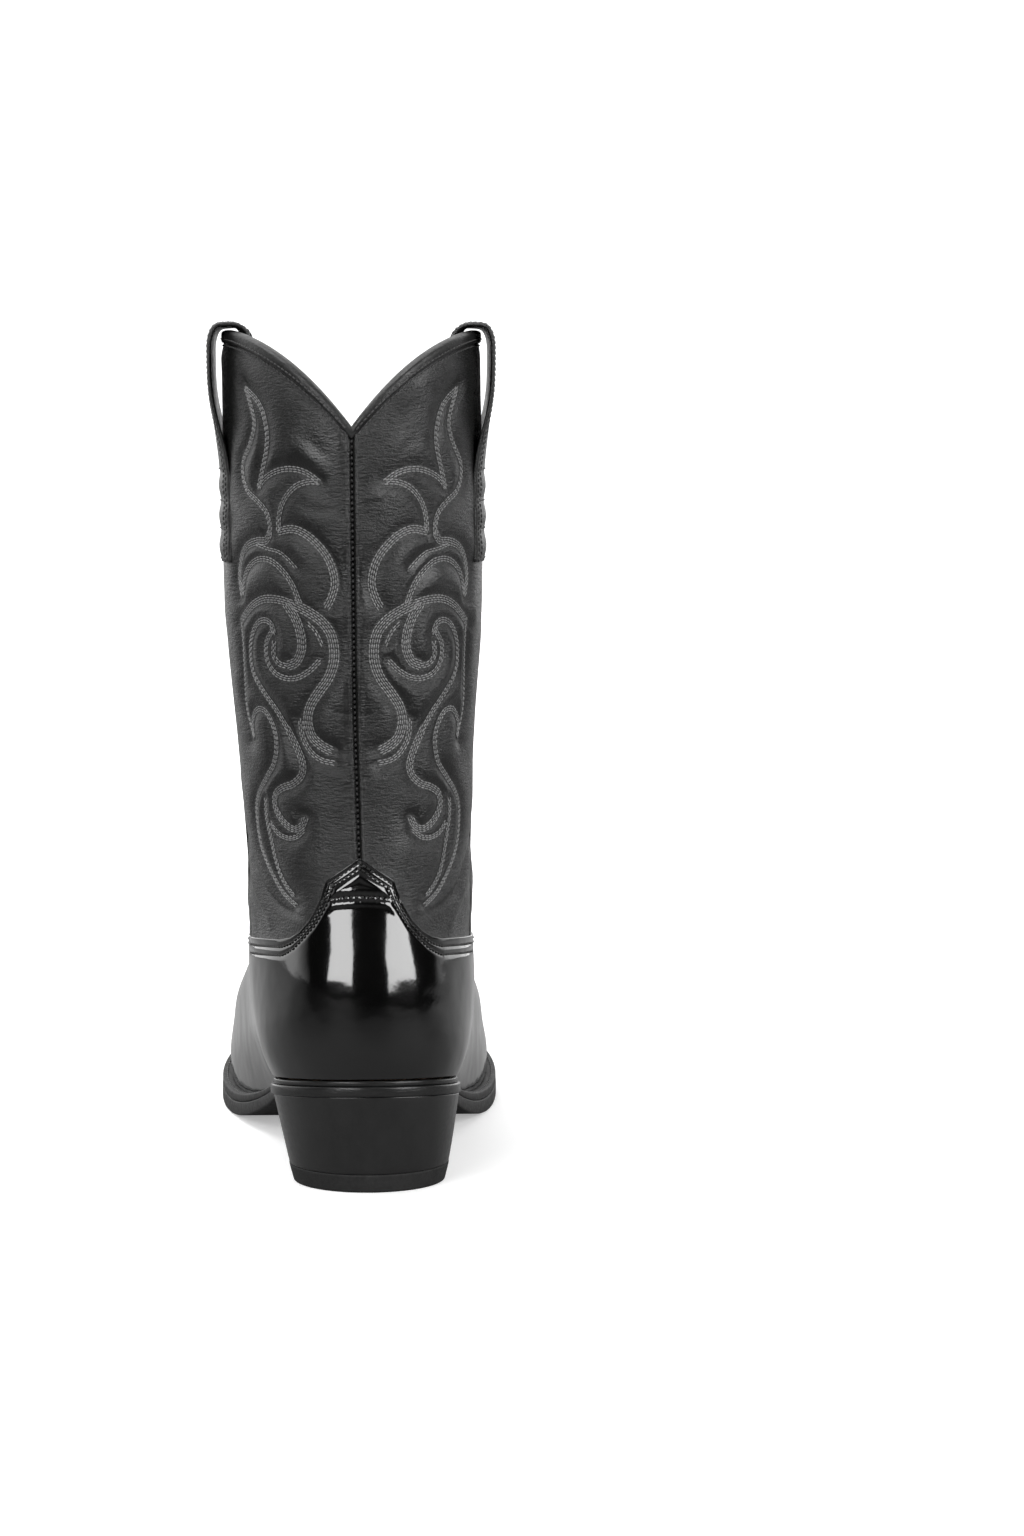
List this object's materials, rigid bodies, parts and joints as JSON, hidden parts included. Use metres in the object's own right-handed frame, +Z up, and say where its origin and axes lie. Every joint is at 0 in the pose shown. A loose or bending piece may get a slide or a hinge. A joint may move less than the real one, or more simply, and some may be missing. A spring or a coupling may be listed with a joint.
{
  "type": "cowboy boot",
  "caption": "Black cowboy boot with a V-notched stitched shaft, side pull straps, patent vamp and counter, welted sole and block heel.",
  "frame": {"origin": "on the floor, at the middle of the flat underside of the heel's rubber top lift", "axes": "+Z up, +Y from the heel towards the toe, +X to the inner (medial) side of this left boot"},
  "size_m": [0.1165, 0.3131, 0.326],
  "materials": {
    "shaft_leather": "black full-grain leather, soft sheen",
    "patent": "black patent leather, high gloss",
    "lining": "dark lining leather, matte",
    "board": "tan fibre board, matte",
    "sole_edge": "black waxed sole leather, satin",
    "heel_stack": "black satin heel block",
    "top_lift": "black rubber, matte",
    "steel": "plain steel",
    "cork": "cork, matte",
    "peg_wood": "pale wood"
  },
  "bodies": {
    "root": {"cork_filler": "cork", "counter_stiffener": "board", "heel_block": "heel_stack", "heel_counter": "patent", "heel_lining": "lining", "heel_nail_1": "steel", "heel_nail_2": "steel", "heel_nail_3": "steel", "heel_nail_4": "steel", "heel_nail_5": "steel", "heel_rand": "sole_edge", "heel_screw": "steel", "insole": "board", "outsole": "sole_edge", "pull_strap_lateral": "shaft_leather", "pull_strap_medial": "shaft_leather", "shaft_back_lateral": "shaft_leather", "shaft_back_medial": "shaft_leather", "shaft_front": "shaft_leather", "shaft_lining_back": "lining", "shaft_lining_front": "lining", "side_piping_lateral": "shaft_leather", "side_piping_medial": "shaft_leather", "sock_liner": "lining", "steel_shank": "steel", "toe_box": "board", "top_binding": "shaft_leather", "top_lift": "top_lift", "vamp": "patent", "vamp_lining": "lining", "waist_peg_lateral_1": "peg_wood", "waist_peg_lateral_2": "peg_wood", "waist_peg_lateral_3": "peg_wood", "waist_peg_lateral_4": "peg_wood", "waist_peg_medial_1": "peg_wood", "waist_peg_medial_2": "peg_wood", "waist_peg_medial_3": "peg_wood", "waist_peg_medial_4": "peg_wood", "welt": "sole_edge"}
  },
  "joints": []
}
